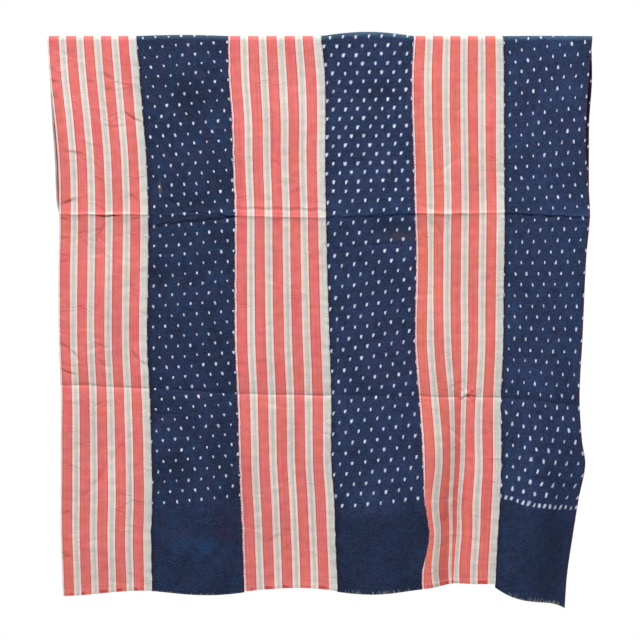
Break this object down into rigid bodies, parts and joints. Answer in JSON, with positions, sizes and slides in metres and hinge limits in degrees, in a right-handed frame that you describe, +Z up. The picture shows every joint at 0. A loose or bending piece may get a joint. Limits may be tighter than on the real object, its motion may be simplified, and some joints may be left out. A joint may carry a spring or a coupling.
{
  "type": "strip-woven cotton wrapper cloth, hung doubled",
  "caption": "Hand-sewn cotton cloth of striped and resist-dotted indigo strips, hung folded once over an unseen rail with its front layer longer than its back.",
  "frame": {"origin": "under the fold at the middle of the width, on the cloth's underside where a rail carries it", "axes": "+Z up, +X to the right along the rail, -Y out of the front layer"},
  "size_m": [0.9624, 0.0431, 1.0211],
  "materials": {
    "striped_cotton": "plain-woven cotton with pink and off-white stripes, matt and softly creased",
    "indigo_cotton": "plain-woven indigo cotton with small white resist-dyed dots, matt with patches of uneven dye"
  },
  "bodies": {
    "root": {"strip_1_striped": "striped_cotton", "strip_2_dotted": "indigo_cotton", "strip_3_striped": "striped_cotton", "strip_4_dotted": "indigo_cotton", "strip_5_striped": "striped_cotton", "strip_6_dotted": "indigo_cotton"}
  },
  "joints": []
}
